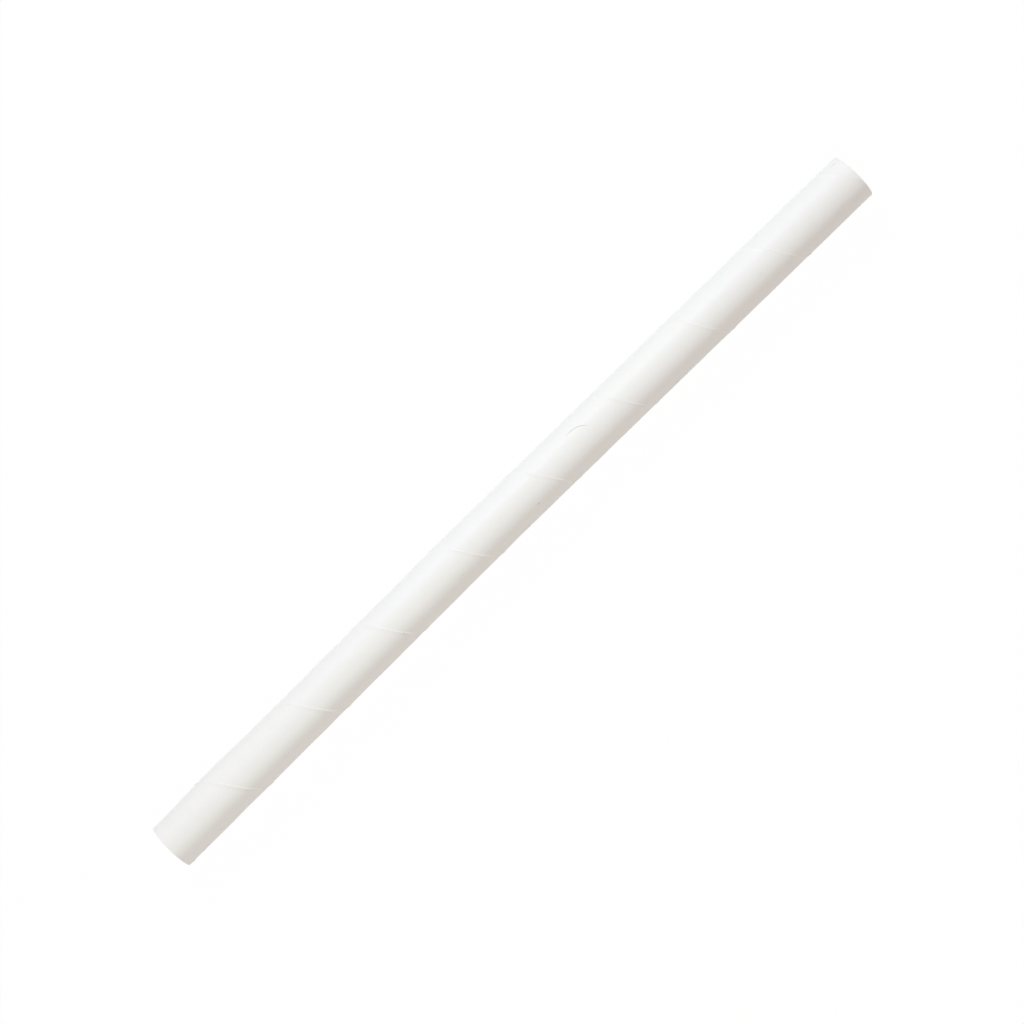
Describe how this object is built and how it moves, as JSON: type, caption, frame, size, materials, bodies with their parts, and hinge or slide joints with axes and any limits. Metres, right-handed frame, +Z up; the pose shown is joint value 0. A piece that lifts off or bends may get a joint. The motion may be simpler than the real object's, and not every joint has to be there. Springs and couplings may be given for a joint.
{
  "type": "paper drinking straw",
  "caption": "Wide plain white drinking straw wound from paper tape in a spiral, open at both cut ends and lying on its side.",
  "frame": {"origin": "centre of the footprint, on the surface that the straw lies on", "axes": "+X along the straw; +Z up; +Y to the side that the straw bows towards"},
  "size_m": [0.2187, 0.0128, 0.012],
  "materials": {
    "paper": "uncoated matte white paper, fine fibre mottle"
  },
  "bodies": {
    "root": {"straw_tube": "paper"}
  },
  "joints": []
}
